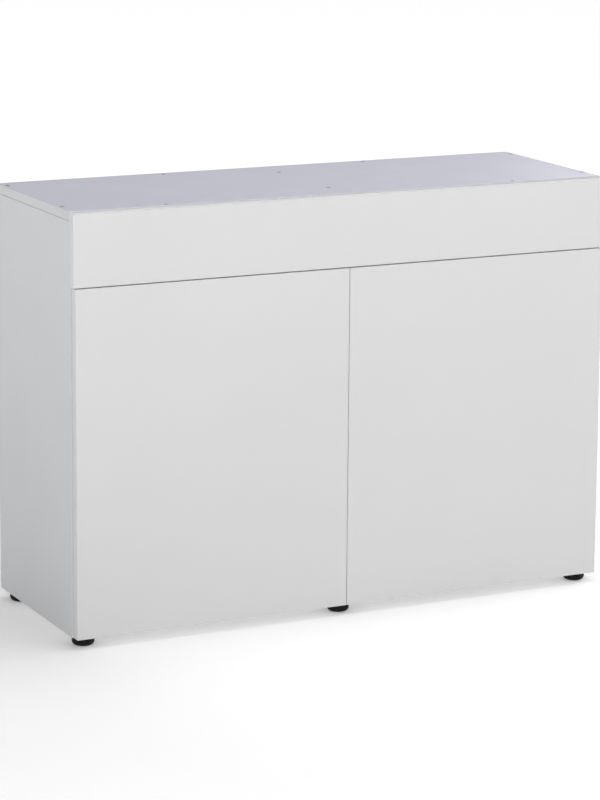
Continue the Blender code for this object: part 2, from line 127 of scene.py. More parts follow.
def orient(bm, axis):
    """Turn a mesh made along Z so that it runs along +axis."""
    turns = {"Y": (-90, "X"), "-Y": (90, "X"), "X": (90, "Y"), "-X": (-90, "Y"), "-Z": (180, "X")}
    if axis in turns:
        degrees, about = turns[axis]
        matrix = Matrix.Rotation(math.radians(degrees), 3, about)
        bmesh.ops.rotate(bm, verts=bm.verts, matrix=matrix)


def fillet(corner, radius, start_deg, end_deg, steps=5):
    """Points of a round profile corner about its centre."""
    points = []
    for step in range(steps + 1):
        angle = math.radians(start_deg + (end_deg - start_deg) * step / steps)
        points.append((corner[0] + radius * math.cos(angle), corner[1] + radius * math.sin(angle)))
    return points


def rounded_rectangle(half_x, half_y, radius, steps=6):
    """Outline of a rectangle with round corners."""
    outline = []
    for start, (sx, sy) in zip((0, 90, 180, 270), ((1, 1), (-1, 1), (-1, -1), (1, -1))):
        centre = (sx * (half_x - radius), sy * (half_y - radius))
        outline += fillet(centre, radius, start, start + 90, steps)
    return outline


def prism(outline, low, high, rounding=0.0, segments=2):
    """Extrude an outline along Z and round its rims."""
    bm = bmesh.new()
    base = bm.faces.new([bm.verts.new((x, y, low)) for x, y in outline])
    rim = list(base.edges)
    grown = bmesh.ops.extrude_face_region(bm, geom=[base])
    lifted = [item for item in grown["geom"] if isinstance(item, bmesh.types.BMVert)]
    bmesh.ops.translate(bm, verts=lifted, vec=(0, 0, high - low))
    if rounding:
        top = [item for item in grown["geom"] if isinstance(item, bmesh.types.BMEdge)]
        bmesh.ops.bevel(bm, geom=rim + top, offset=rounding, segments=segments, affect="EDGES")
    return bm


def block(low, high, rounding=0.0, segments=2):
    """A box between two corners with rounded edges."""
    bm = bmesh.new()
    bmesh.ops.create_cube(bm, size=1)
    low, high = Vector(low), Vector(high)
    bmesh.ops.scale(bm, verts=bm.verts, vec=high - low)
    bmesh.ops.translate(bm, verts=bm.verts, vec=(low + high) / 2)
    if rounding:
        bmesh.ops.bevel(bm, geom=list(bm.edges), offset=rounding, segments=segments, affect="EDGES")
    return bm


def moved(bm, offset):
    """Shift a bmesh and give it back."""
    bmesh.ops.translate(bm, verts=bm.verts, vec=offset)
    return bm


def carve(obj, tool_bm, operation="DIFFERENCE"):
    """Cut a tool out of a piece, or join it on, and keep only the result."""
    tool = make_object("tool", tool_bm, obj.data.materials[0])
    modifier = obj.modifiers.new("carve", "BOOLEAN")
    modifier.operation = operation
    modifier.object = tool
    graph = bpy.context.evaluated_depsgraph_get()
    result = bpy.data.meshes.new_from_object(obj.evaluated_get(graph), depsgraph=graph)
    obj.modifiers.remove(modifier)
    spent = obj.data
    obj.data = result
    result.name = obj.name
    result.shade_smooth()
    result.set_sharp_from_angle(angle=math.radians(35))
    bpy.data.meshes.remove(spent)
    tool_mesh = tool.data
    bpy.data.objects.remove(tool)
    bpy.data.meshes.remove(tool_mesh)
    return obj


def box_of(node):
    """Low corner, high corner and middle of a CAD node."""
    low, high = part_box(node)
    return low, high, (low + high) / 2


def stand_for(obj, body, slot_name, *nodes):
    """Ride a piece on a body and let it stand for CAD nodes; the slot name is not used."""
    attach(obj, body)
    if nodes:
        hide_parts(*nodes)
    return obj


# ----------------------------------------------------------------------------------------- materials

class Nodes:
    """A node tree being built, with short calls for the nodes these materials use."""

    def __init__(self, name, roughness=0.5, metallic=0.0, coat=0.0, specular=0.5):
        self.material = bpy.data.materials.new(name)
        self.material.use_nodes = True
        self.tree = self.material.node_tree
        self.shader = self.tree.nodes["Principled BSDF"]
        self.shader.inputs["Roughness"].default_value = roughness
        self.shader.inputs["Metallic"].default_value = metallic
        self.shader.inputs["Coat Weight"].default_value = coat
        self.shader.inputs["Specular IOR Level"].default_value = specular
        self.coords = self.tree.nodes.new("ShaderNodeTexCoord")

    def link(self, source, target):
        self.tree.links.new(source, target)

    def noise(self, scale, detail=2.0, stretch=(1, 1, 1)):
        """Noise in the piece's own metres; scale is in features per metre."""
        mapping = self.tree.nodes.new("ShaderNodeMapping")
        mapping.inputs["Scale"].default_value = stretch
        self.link(self.coords.outputs["Object"], mapping.inputs["Vector"])
        node = self.tree.nodes.new("ShaderNodeTexNoise")
        node.inputs["Scale"].default_value = scale
        node.inputs["Detail"].default_value = detail
        self.link(mapping.outputs["Vector"], node.inputs["Vector"])
        return node.outputs["Fac"]

    def remap(self, value, from_low, from_high, to_low, to_high):
        node = self.tree.nodes.new("ShaderNodeMapRange")
        node.inputs["From Min"].default_value = from_low
        node.inputs["From Max"].default_value = from_high
        node.inputs["To Min"].default_value = to_low
        node.inputs["To Max"].default_value = to_high
        self.link(value, node.inputs["Value"])
        return node.outputs["Result"]

    def maths(self, operation, first, second=None):
        node = self.tree.nodes.new("ShaderNodeMath")
        node.operation = operation
        for socket, value in zip(node.inputs, (first, second)):
            if value is None:
                continue
            if isinstance(value, (int, float)):
                socket.default_value = value
            else:
                self.link(value, socket)
        return node.outputs["Value"]

    def mix(self, factor, first, second):
        """Mix two colours, each a tuple or a socket."""
        node = self.tree.nodes.new("ShaderNodeMix")
        node.data_type = "RGBA"
        self.link(factor, node.inputs["Factor"])
        for socket, value in ((node.inputs[6], first), (node.inputs[7], second)):
            if isinstance(value, tuple):
                socket.default_value = (*value, 1)
            else:
                self.link(value, socket)
        return node.outputs[2]

    def split(self, output):
        node = self.tree.nodes.new("ShaderNodeSeparateXYZ")
        self.link(self.coords.outputs[output], node.inputs["Vector"])
        return node.outputs

    def bump(self, height, distance, strength=1.0, under=None):
        node = self.tree.nodes.new("ShaderNodeBump")
        node.inputs["Strength"].default_value = strength
        node.inputs["Distance"].default_value = distance
        self.link(height, node.inputs["Height"])
        if under is not None:
            self.link(under, node.inputs["Normal"])
        return node.outputs["Normal"]

    def paint(self, colour=None, roughness=None, normal=None):
        if colour is not None:
            self.link(colour, self.shader.inputs["Base Color"])
        if roughness is not None:
            self.link(roughness, self.shader.inputs["Roughness"])
        if normal is not None:
            self.link(normal, self.shader.inputs["Normal"])
        return self.material


def shade(colour, factor):
    """A colour made lighter or darker."""
    return tuple(min(1.0, channel * factor) for channel in colour)


EDGE_BAND = 1.0 * MM
SEAM_HALF = 0.12 * MM


def laminate(name, low, high, axis, colour, edge, rough=(0.36, 0.46), seam=0.90):
    """Melamine-faced board with edge bands.

    Its two faces lie across axis (0, 1 or 2). They have a fine pearl texture and a faint joint line
    where the edge band meets them; the edge band itself is a little duller.
    """
    nodes = Nodes(name, roughness=sum(rough) / 2, specular=0.45)
    cloud = nodes.remap(nodes.noise(2.6, 3.0), 0.3, 0.7, 0.0, 1.0)
    tone = nodes.mix(cloud, shade(colour, 0.988), shade(colour, 1.010))
    speck = nodes.remap(nodes.noise(900.0, 1.0), 0.62, 0.78, 0.0, 0.35)
    tone = nodes.mix(speck, tone, shade(colour, 0.965))
    place = nodes.split("Object")
    gaps = []
    for along in (index for index in range(3) if index != axis):
        middle = (low[along] + high[along]) / 2
        half = (high[along] - low[along]) / 2
        offset = nodes.maths("ABSOLUTE", nodes.maths("SUBTRACT", place[along], middle))
        gaps.append(nodes.maths("SUBTRACT", half, offset))
    edge_gap = nodes.maths("MINIMUM", gaps[0], gaps[1])
    line = nodes.maths("ABSOLUTE", nodes.maths("SUBTRACT", edge_gap, EDGE_BAND))
    line = nodes.remap(line, SEAM_HALF * 0.5, SEAM_HALF * 1.5, 1.0, 0.0)
    facing = nodes.maths("ABSOLUTE", nodes.split("Normal")[axis])
    on_edge = nodes.maths("LESS_THAN", facing, 0.6)
    on_face = nodes.maths("SUBTRACT", 1.0, on_edge)
    tone = nodes.mix(nodes.maths("MULTIPLY", line, on_face), tone, shade(colour, seam))
    tone = nodes.mix(on_edge, tone, shade(edge, 0.985))
    smudge = nodes.remap(nodes.noise(7.0, 4.0), 0.3, 0.7, rough[0], rough[1])
    dull = nodes.maths("ADD", smudge, nodes.maths("MULTIPLY", on_edge, 0.06))
    pearl = nodes.bump(nodes.noise(1300.0, 2.0), 0.02 * MM, 0.35)
    wave = nodes.bump(nodes.noise(45.0, 1.0), 0.04 * MM, 0.20, under=pearl)
    return nodes.paint(tone, dull, wave)


def moulded(name, colour, rough, grain=1500.0, depth=0.03, specular=0.45):
    """Moulded plastic or rubber with a spark-eroded grain and faint flow marks."""
    nodes = Nodes(name, roughness=rough, specular=specular)
    flow = nodes.remap(nodes.noise(60.0, 3.0, (1, 1, 3)), 0.3, 0.7, 0.0, 1.0)
    tone = nodes.mix(flow, shade(colour, 0.85), shade(colour, 1.18))
    gloss = nodes.remap(nodes.noise(220.0, 2.0), 0.3, 0.7, rough - 0.07, rough + 0.07)
    return nodes.paint(tone, gloss, nodes.bump(nodes.noise(grain, 2.0), depth * MM, 0.5))


def plated(name, colour, rough, stretch=(1, 1, 1)):
    """Plated steel: faint rolling marks and cloudy gloss."""
    nodes = Nodes(name, roughness=rough, metallic=1.0)
    cloud = nodes.remap(nodes.noise(180.0, 3.0), 0.3, 0.7, 0.0, 1.0)
    tone = nodes.mix(cloud, shade(colour, 0.90), shade(colour, 1.06))
    gloss = nodes.remap(nodes.noise(420.0, 2.0, stretch), 0.3, 0.7, rough - 0.06, rough + 0.10)
    return nodes.paint(tone, gloss, nodes.bump(nodes.noise(700.0, 2.0, stretch), 0.01 * MM, 0.5))


GROUND_GLOW_NEAR = 0.25
GROUND_GLOW_FAR = 0.94
HORIZON_GLOW = 0.76
OVERHEAD_GLOW = 0.01


def floor_material():
    """Pale studio floor with a barely visible mottle; away from the piece it is lit from below."""
    nodes = Nodes("studio_floor", roughness=0.75, specular=0.2)
    cloud = nodes.noise(1.5, 2.0)
    tone = nodes.mix(cloud, (0.93, 0.93, 0.93), (0.95, 0.95, 0.95))
    distance = nodes.tree.nodes.new("ShaderNodeVectorMath")
    distance.operation = "LENGTH"
    nodes.link(nodes.coords.outputs["Object"], distance.inputs[0])
    glow = nodes.remap(distance.outputs["Value"], 0.8, 4.0, GROUND_GLOW_NEAR, GROUND_GLOW_FAR)
    glow.node.interpolation_type = "SMOOTHSTEP"
    nodes.link(glow, nodes.shader.inputs["Emission Strength"])
    nodes.shader.inputs["Emission Color"].default_value = (1, 1, 1, 1)
    return nodes.paint(tone, None, nodes.bump(nodes.noise(60.0, 2.0), 0.2 * MM, 0.2))


WHITE = (0.79, 0.79, 0.79)
# painted shade: a darker, cooler copy of WHITE for the side panels' faces and the top panel's edges
SHADED_WHITE = (0.765, 0.773, 0.787)
# painted highlight: edge bands in a lighter copy of the white, the light the edges catch; their duller gloss
# is the band's own
LIT_EDGE_WHITE = (0.85, 0.85, 0.855)
WHITE_BACK = (0.74, 0.74, 0.735)
BACK_CORE = (0.46, 0.36, 0.25)
# painted shade: the white top panel in a darker, lavender-grey copy, the shade and cool tint its upward face
# takes
SHADED_TOP_LAVENDER = (0.655, 0.65, 0.755)
NICKEL = plated("nickel_plate", (0.72, 0.71, 0.68), 0.24, (1, 6, 1))
ZINC = plated("zinc_plate", (0.50, 0.51, 0.54), 0.36)
DARK_ZINC = plated("dark_zinc_plate", (0.20, 0.20, 0.22), 0.42)
BLACK = moulded("black_foot_plastic", (0.005, 0.005, 0.006), 0.55, specular=0.20)
GREY = moulded("latch_plastic", (0.50, 0.51, 0.52), 0.46, 1100.0)
TIP = moulded("latch_tip_plastic", (0.66, 0.67, 0.68), 0.40, 1100.0, 0.02)
RUBBER = moulded("bumper_rubber", (0.62, 0.63, 0.62), 0.30, 900.0, 0.01, 0.5)
TRIM = moulded("cutout_trim_plastic", (0.70, 0.70, 0.70), 0.48, 1300.0)

BOARDS = {
    "left_side_panel": 0,
    "right_side_panel": 0,
    "centre_divider": 0,
    "bottom_panel": 2,
    "shelf": 2,
    "front_fascia": 1,
    "left_door": 1,
    "right_door": 1,
    "front_rail_left": 1,
    "front_rail_right": 1,
    "rear_rail_left": 1,
    "rear_rail_right": 1,
}


def dress(node, material):
    """Give a CAD node its finished material."""
    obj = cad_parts[node]
    obj.data.materials.clear()
    obj.data.materials.append(material)


def dress_boards():
    """Laminate on every board but the top and the back, which have their own screws and colours; the top's
    colour is painted shade.
    """
    for node, axis in BOARDS.items():
        low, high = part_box(node)
        # the side panels' faces take a darker, cooler white: painted shade on the sides
        face = SHADED_WHITE if node.endswith("side_panel") else WHITE
        # edge bands in the lighter white: painted highlight
        dress(node, laminate(f"laminate_{node}", low, high, axis, face, LIT_EDGE_WHITE))


# ------------------------------------------------------------------------------------------- screws

RAIL_SCREW = 4.2 * MM        # head radii
BACK_SCREW = 3.4 * MM
FRONT_RAIL_SCREW_X = 0.392
REAR_RAIL_SCREW_X = 0.235
DIVIDER_SCREW_HEIGHTS = (0.18, 0.34, 0.50, 0.66, 0.78)
BACK_SCREW_COLUMNS = (-0.45, -0.15, 0.15, 0.45)
HEAD_CLEARANCE = 0.2 * MM
HEAD_HEIGHT = 1.2 * MM
HEAD_SUNK = 0.1 * MM
POCKET_DEPTH = 1.6 * MM


def screw_head(name, centre, axis, radius, height, material, domed=0.0):
    """A screw head whose outer face lies at centre and looks along axis, with a cross recess."""
    rim = min(0.3 * MM, radius * 0.12)
    profile = [(radius * 0.55, -height), (radius, -height * 0.35), (radius, -rim)]
    profile += [(radius - rim, 0), (radius * 0.6, domed * 0.8), (radius * 0.3, domed), (0, domed)]
    obj = make_object(name, lathe(profile, 32, centre, axis), material)
    for turn in (0, 90):
        arm = prism(rounded_rectangle(radius * 0.52, radius * 0.11, radius * 0.05, 2), -height * 0.6, height)
        bmesh.ops.rotate(arm, verts=arm.verts, matrix=Matrix.Rotation(math.radians(turn), 3, "Z"))
        orient(arm, axis)
        bmesh.ops.translate(arm, verts=arm.verts, vec=centre)
        carve(obj, arm)
    return obj


def join(name, objects):
    """Merge finished pieces of one body into one piece."""
    bm = bmesh.new()
    for obj in objects:
        bm.from_mesh(obj.data)
    material = objects[0].data.materials[0]
    for obj in objects:
        mesh = obj.data
        bpy.data.objects.remove(obj)
        bpy.data.meshes.remove(mesh)
    return make_object(name, bm, material)


def pocketed(node, slot_name, material, axis, spots, radius):
    """A panel in its CAD shape, with a shallow round pocket for the screw at each spot."""
    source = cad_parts[node]
    bm = bmesh.new()
    bm.from_mesh(source.data)
    bm.transform(source.matrix_world)
    panel = make_object(f"{node}_detail", bm, material)
    sides = [(radius, -POCKET_DEPTH), (radius, POCKET_DEPTH)]
    carve(panel, merged(*[lathe(sides, 32, spot, axis) for spot in spots]))
    panel.data.shade_flat()
    stand_for(panel, CARCASS, slot_name, node)


def top_panel():
    """The top panel with the four screws that hold it to the rails."""
    low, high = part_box("top_panel")
    rail_front = box_of("front_rail_left")[2].y
    rail_rear = box_of("rear_rail_left")[2].y
    # the top's face in painted shade (darker lavender-grey) and its edges in the shaded white, also painted
    # shade
    coat = laminate("laminate_top_panel", low, high, 2, SHADED_TOP_LAVENDER, SHADED_WHITE, (0.30, 0.42), 0.93)
    spots = {
        "front_left": (-FRONT_RAIL_SCREW_X, rail_front, high.z),
        "front_right": (FRONT_RAIL_SCREW_X, rail_front, high.z),
        "rear_left": (-REAR_RAIL_SCREW_X, rail_rear, high.z),
        "rear_right": (REAR_RAIL_SCREW_X, rail_rear, high.z),
    }
    pocketed("top_panel", "top_laminate", coat, "Z", spots.values(), RAIL_SCREW + HEAD_CLEARANCE)
    for name, (x, y, z) in spots.items():
        face = (x, y, z - HEAD_SUNK)
        head = screw_head(f"rail_screw_{name}", face, "Z", RAIL_SCREW, HEAD_HEIGHT, DARK_ZINC)
        stand_for(head, CARCASS, "zinc")


def back_panel():
    """The back panel with the small screws that hold it to the boards in front of it."""
    low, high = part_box("back_panel")
    coat = laminate("laminate_back_panel", low, high, 1, WHITE_BACK, BACK_CORE, (0.5, 0.62), 0.97)
    spots = [(0.0, high.y, z) for z in DIVIDER_SCREW_HEIGHTS]
    for x in BACK_SCREW_COLUMNS:
        spots.append((x, high.y, high.z - 50 * MM))
        spots.append((x, high.y, low.z + 9 * MM))
    pocketed("back_panel", "back_board", coat, "Y", spots, BACK_SCREW + HEAD_CLEARANCE)
    heads = []
    for index, (x, y, z) in enumerate(spots):
        face = (x, y - HEAD_SUNK, z)
        heads.append(screw_head(f"head_{index}", face, "Y", BACK_SCREW, HEAD_HEIGHT, ZINC))
    stand_for(join("back_panel_screws", heads), CARCASS, "zinc")


def top_screws():
    """Six screws through the top panel, into the side panels and the divider."""
    for column in ("left", "centre", "right"):
        for row in ("front", "rear"):
            node = f"top_screw_{column}_{row}"
            low, high, middle = box_of(node)
            radius = (high.x - low.x) / 2
            face = (middle.x, middle.y, high.z)
            head = screw_head(f"{node}_detail", face, "Z", radius, 2 * MM, DARK_ZINC)
            shank = lathe([(2.5 * MM, low.z), (2.5 * MM, high.z - 1.9 * MM)], 24, (middle.x, middle.y, 0))
            whole = join(f"{node}_detail", [head, make_object("shank", shank, ZINC)])
            stand_for(whole, CARCASS, "zinc", node)


# --------------------------------------------------------------------------------------------- feet

def thread(radius, depth, pitch, low, high, sides=28, per_turn=6):
    """Threaded rod: the surface winds up by one pitch a turn, and fades to the core at both ends."""
    bm = bmesh.new()
    rows = int((high - low) / pitch * per_turn)
    rings = []
    for row in range(rows + 1):
        z = low + (high - low) * row / rows
        ring = []
        for step in range(sides):
            phase = (z / pitch - step / sides) % 1.0
            crest = 1 - abs(2 * phase - 1)
            fade = min(1.0, (z - low) / pitch, (high - z) / pitch)
            r = radius - depth + depth * crest * fade
            angle = math.tau * step / sides
            ring.append(bm.verts.new((r * math.cos(angle), r * math.sin(angle), z)))
        rings.append(ring)
    for lower, upper in zip(rings, rings[1:]):
        for step in range(sides):
            after = (step + 1) % sides
            bm.faces.new((lower[step], lower[after], upper[after], upper[step]))
    bm.faces.new(rings[0])
    bm.faces.new(rings[-1])
    return bm


def foot(name):
    """Moulded foot with a deeply rolled sole edge and a hollow sole, on a threaded stem."""
    node = f"{name}_foot"
    low, high, middle = box_of(node)
    radius = (high.x - low.x) / 2
    pad_top = 18.9 * MM
    roll = 9 * MM
    sole = radius - roll
    profile = [(0, 0.6 * MM), (sole - 1.6 * MM, 0.6 * MM), (sole - MM, 0)]
    profile += fillet((sole, roll), roll, -90, 0, 12)
    profile += fillet((radius - 1.5 * MM, pad_top - 1.5 * MM), 1.5 * MM, 0, 90, 4)
    profile += [(13 * MM, pad_top), (12 * MM, pad_top - 1.2 * MM), (8.6 * MM, pad_top - 1.2 * MM)]
    profile += [(8.6 * MM, pad_top - 0.2 * MM), (0, pad_top - 0.2 * MM)]
    pad = make_object(f"{node}_pad", lathe(profile, 64, (middle.x, middle.y, low.z)), BLACK)
    stand_for(pad, node, "black_plastic", node)
    stem = moved(thread(5 * MM, 0.7 * MM, 1.5 * MM, pad_top - MM, high.z), (middle.x, middle.y, 0))
    stand_for(make_object(f"{node}_stem", stem, ZINC, 60), node, "zinc")


def foot_insert(name):
    """Flanged threaded bush in the bottom panel."""
    node = f"{name}_foot_insert"
    low, high, middle = box_of(node)
    flange = (high.x - low.x) / 2
    bore, body = 5.35 * MM, 8 * MM
    lip = low.z + 1.5 * MM
    profile = [(bore, low.z + 0.3 * MM), (bore + 0.3 * MM, low.z), (flange - 0.4 * MM, low.z)]
    profile += [(flange, low.z + 0.4 * MM), (flange, lip), (body, lip)]
    profile += [(body, high.z - 0.5 * MM), (body - 0.5 * MM, high.z), (bore + 0.3 * MM, high.z)]
    profile += [(bore, high.z - 0.3 * MM)]
    bush = lathe(profile, 48, (middle.x, middle.y, 0), closed=True)
    stand_for(make_object(f"{node}_detail", bush, ZINC), CARCASS, "zinc", node)


def feet():
    """All six feet and their bushes."""
    for row in ("front", "back"):
        for column in ("left", "centre", "right"):
            foot(f"{row}_{column}")
            foot_insert(f"{row}_{column}")


# ------------------------------------------------------------------------------------------- hinges

def hinge_cup(side, sign, row):
    """Deep-drawn cup with a screw flange, two flange screws and the two lugs of the pin."""
    node = f"{side}_{row}_hinge_cup"
    body = f"{side}_door"
    low, high, middle = box_of(node)
    door_edge = max(abs(value) for value in (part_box(body)[0].x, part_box(body)[1].x))
    cup_x = sign * (door_edge - 20.5 * MM)
    door_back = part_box(body)[1].y
    outline = rounded_rectangle((high.x - low.x) / 2, (high.z - low.z) / 2, 7 * MM)
    plate = prism(outline, 0, 1.0 * MM, 0.35 * MM)
    orient(plate, "-Y")
    moved(plate, (middle.x, door_back + 1.3 * MM, middle.z))
    obj = make_object(f"{node}_detail", plate, NICKEL)
    base = -14.5 * MM
    outer = fillet((15.5 * MM, base + 2 * MM), 2 * MM, -90, 0, 5)
    carve(obj, lathe(outer + [(17.5 * MM, 0.8 * MM)], 64, (cup_x, door_back, middle.z), "Y"), "UNION")
    floor = base + 0.8 * MM
    inner = [(0, floor)] + fillet((15.2 * MM, floor + 1.5 * MM), 1.5 * MM, -90, 0, 4) + [(16.7 * MM, 4 * MM)]
    carve(obj, lathe(inner, 64, (cup_x, door_back, middle.z), "Y"))
    lug_x = sorted(sign * (door_edge - width) for width in (5.0 * MM, 9.0 * MM))
    for way in (-1, 1):
        lug_z = sorted(middle.z + way * span for span in (4.4 * MM, 7.5 * MM))
        lug_low = (lug_x[0], door_back + floor - 0.4 * MM, lug_z[0])
        lug_high = (lug_x[1], door_back - 9 * MM, lug_z[1])
        carve(obj, block(lug_low, lug_high, 0.5 * MM), "UNION")
    stand_for(obj, body, "nickel", node)
    for way, label in ((-1, "a"), (1, "b")):
        face = (cup_x, door_back + 1.5 * MM, middle.z + way * 24 * MM)
        head = screw_head(f"{node}_screw_{label}", face, "Y", 3.6 * MM, 1.5 * MM, ZINC, 0.3 * MM)
        stand_for(head, body, "zinc")


def hinge_arm(side, sign, row):
    """Gooseneck arm: rolled eye, neck, and a channel body with an adjusting screw and a clip slot."""
    node = f"{side}_{row}_hinge_arm"
    middle = box_of(node)[2]
    pin = box_of(f"{side}_{row}_hinge_pin")[2]
    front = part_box("left_side_panel")[0].y
    outline = arm_outline(front - pin.y)
    placed = [(pin.x - sign * x, pin.y + y) for x, y in outline]
    neck = prism(placed, pin.z - 4 * MM, pin.z + 4 * MM, 0.2 * MM, 1)
    obj = make_object(f"{node}_detail", neck, NICKEL)
    wall = SIDE_FACE - 2.6 * MM
    across = sorted((sign * wall, sign * (wall - 8 * MM)))
    start = front + 3 * MM
    body_low = (across[0], start, middle.z - 6.5 * MM)
    body_high = (across[1], start + 62 * MM, middle.z + 6.5 * MM)
    carve(obj, block(body_low, body_high, 1.2 * MM, 3), "UNION")
    face = sign * (wall - 8 * MM)
    pocket = rounded_rectangle(3.2 * MM, 17 * MM, 3.1 * MM)
    pocket = prism(pocket, -1.6 * MM, 2 * MM)
    orient(pocket, "-X" if sign > 0 else "X")
    moved(pocket, (face, start + 30 * MM, middle.z))
    carve(obj, pocket)
    stand_for(obj, CARCASS, "nickel", node)
    axis = "-X" if sign > 0 else "X"
    inward = -sign
    for label, along in (("adjuster", 22 * MM), ("fixing", 39 * MM)):
        spot = (face - inward * 0.9 * MM, start + along, middle.z)
        head = screw_head(f"{node}_{label}_screw", spot, axis, 3.0 * MM, 1.2 * MM, ZINC, 0.3 * MM)
        stand_for(head, CARCASS, "zinc")


def arm_outline(front):
    """Gooseneck seen from above, as in the CAD part: an open rolled eye, a neck and a turned-out end."""
    inner, outer = 1.15 * MM, 1.95 * MM
    top, bottom = -0.2 * MM, -1.8 * MM
    mouth = 20
    lip = math.degrees(math.asin(top / inner))
    root = math.degrees(math.asin(bottom / outer))
    back = front + 5 * MM
    outline = [(14.8 * MM, bottom), (15.3 * MM, bottom + 0.5 * MM), (15.3 * MM, back), (13.7 * MM, back)]
    outline += [(13.7 * MM, top)]
    outline += fillet((0, 0), inner, lip, mouth - 360, 28)
    outline += fillet((0, 0), outer, mouth - 360, root, 28)
    return outline


def hinge_plate(side, sign, row):
    """Cross-shaped mounting plate with a screw in each wing."""
    node = f"{side}_{row}_hinge_plate"
    low, high, middle = box_of(node)
    half_length = (high.y - low.y) / 2
    bar = 8 * MM
    wing_low, wing_high = 13 * MM - half_length, 33 * MM - half_length
    wing = (high.z - low.z) / 2
    quarter = [(-half_length, bar), (wing_low, bar), (wing_low, wing), (wing_high, wing)]
    quarter += [(wing_high, bar), (half_length, bar)]
    outline = quarter + [(x, -y) for x, y in reversed(quarter)]
    bm = prism(outline, 0, high.x - low.x, 0.4 * MM)
    base = SIDE_FACE - 0.3 * MM
    for vert in bm.verts:
        along, up, thick = vert.co
        vert.co = (sign * (base - thick), middle.y + along, middle.z + up)
    stand_for(make_object(f"{node}_detail", bm, NICKEL), CARCASS, "nickel", node)
    axis = "-X" if sign > 0 else "X"
    face = sign * (base - 2.3 * MM)
    for way, label in ((-1, "a"), (1, "b")):
        spot = (face, middle.y, middle.z + way * 16 * MM)
        head = screw_head(f"{node}_screw_{label}", spot, axis, 3.6 * MM, 1.5 * MM, ZINC, 0.5 * MM)
        stand_for(head, CARCASS, "zinc")


def hinge_pin(side, row):
    """Riveted pin with rounded ends."""
    node = f"{side}_{row}_hinge_pin"
    low, high, middle = box_of(node)
    half = (high.z - low.z) / 2
    profile = [(0, -half), (0.6 * MM, -half), (1.0 * MM, -half + 0.4 * MM)]
    profile += [(1.0 * MM, half - 0.4 * MM), (0.6 * MM, half), (0, half)]
    stand_for(make_object(f"{node}_detail", lathe(profile, 32, middle), ZINC), f"{side}_door", "nickel", node)


def hinges():
    """Both hinges of both doors."""
    for side, sign in SIDES.items():
        for row in HINGE_ROWS:
            hinge_cup(side, sign, row)
            hinge_arm(side, sign, row)
            hinge_plate(side, sign, row)
            hinge_pin(side, row)


# ------------------------------------------------------------------------------- latches and inside

def latches():
    """Latch housings with two grooves and a collar, and plungers with a soft tip."""
    for side in SIDES:
        node = f"{side}_latch_housing"
        low, high, middle = box_of(node)
        housing = make_object(f"{node}_detail", block(low, high, 2.2 * MM, 4), GREY)
        carve(housing, lathe([(4.4 * MM, -MM), (4.4 * MM, 52 * MM)], 48, (middle.x, low.y, middle.z), "Y"))
        for along in (14 * MM, 50 * MM):
            groove = block(
                (low.x - MM, low.y + along, high.z - 0.6 * MM),
                (high.x + MM, low.y + along + 1.2 * MM, high.z + MM),
            )
            carve(housing, groove)
        stand_for(housing, CARCASS, "grey_plastic", node)
        collar = [(4.5 * MM, 0), (6.2 * MM, 0), (6.2 * MM, -0.3 * MM)]
        collar += [(5.6 * MM, -0.6 * MM), (4.5 * MM, -0.6 * MM)]
        ring = lathe(collar, 48, (middle.x, low.y, middle.z), "Y", closed=True)
        stand_for(make_object(f"{side}_latch_collar", ring, TIP), CARCASS, "grey_plastic")
        plunger = f"{side}_latch_plunger"
        low, high, middle = box_of(plunger)
        radius = (high.x - low.x) / 2
        length = high.y - low.y
        rod = [(0, 1.6 * MM), (radius - 0.5 * MM, 1.6 * MM), (radius - 0.2 * MM, 2.0 * MM)]
        rod += [(radius - 0.2 * MM, length - 0.5 * MM), (radius - 0.7 * MM, length), (0, length)]
        rod = make_object(f"{plunger}_detail", lathe(rod, 48, (middle.x, low.y, middle.z), "Y"), GREY)
        stand_for(rod, f"{side}_plunger", "grey_plastic", plunger)
        tip = [(0, 0)] + fillet((radius - MM, MM), MM, -90, 0, 4) + [(radius, 1.7 * MM), (0, 1.7 * MM)]
        tip = make_object(f"{plunger}_tip", lathe(tip, 48, (middle.x, low.y, middle.z), "Y"), TIP)
        stand_for(tip, f"{side}_plunger", "grey_plastic")


def bumpers():
    """Domed soft bumper on each door."""
    for side in SIDES:
        node = f"{side}_door_bumper"
        low, high, middle = box_of(node)
        radius = (high.x - low.x) / 2
        height = high.y - low.y
        dome = [(radius, 0), (radius, 0.3 * MM), (radius * 0.92, height * 0.6)]
        dome += [(radius * 0.7, height * 0.9), (radius * 0.35, height), (0, height)]
        bm = lathe([(0, 0)] + dome, 48, (middle.x, low.y, middle.z), "Y")
        stand_for(make_object(f"{node}_detail", bm, RUBBER), f"{side}_door", "bumper_rubber", node)


def shelf_pins():
    """Shelf pins with a collar against their wall."""
    for wall, inward in (("divider", 1), ("side", -1)):
        for row in ("front", "rear"):
            node = f"shelf_pin_{wall}_{row}"
            low, high, middle = box_of(node)
            radius = (high.z - low.z) / 2
            length = high.x - low.x
            buried = 8 * MM
            profile = [(0, 0), (radius - 0.4 * MM, 0), (radius, 0.4 * MM), (radius, length - 0.6 * MM)]
            profile += [(radius - 0.6 * MM, length), (0, length)]
            start = low.x if inward > 0 else high.x
            axis = "X" if inward > 0 else "-X"
            pin = make_object(f"{node}_detail", lathe(profile, 32, (start, middle.y, middle.z), axis), NICKEL)
            stand_for(pin, CARCASS, "nickel", node)
            collar = [(radius + 0.05 * MM, 0), (3.9 * MM, 0), (3.9 * MM, 0.5 * MM), (3.6 * MM, 0.8 * MM)]
            collar += [(radius + 0.05 * MM, 0.8 * MM)]
            at = (start + inward * (buried + 0.1 * MM), middle.y, middle.z)
            ring = make_object(f"{node}_collar", lathe(collar, 32, at, axis, closed=True), NICKEL)
            stand_for(ring, CARCASS, "nickel")


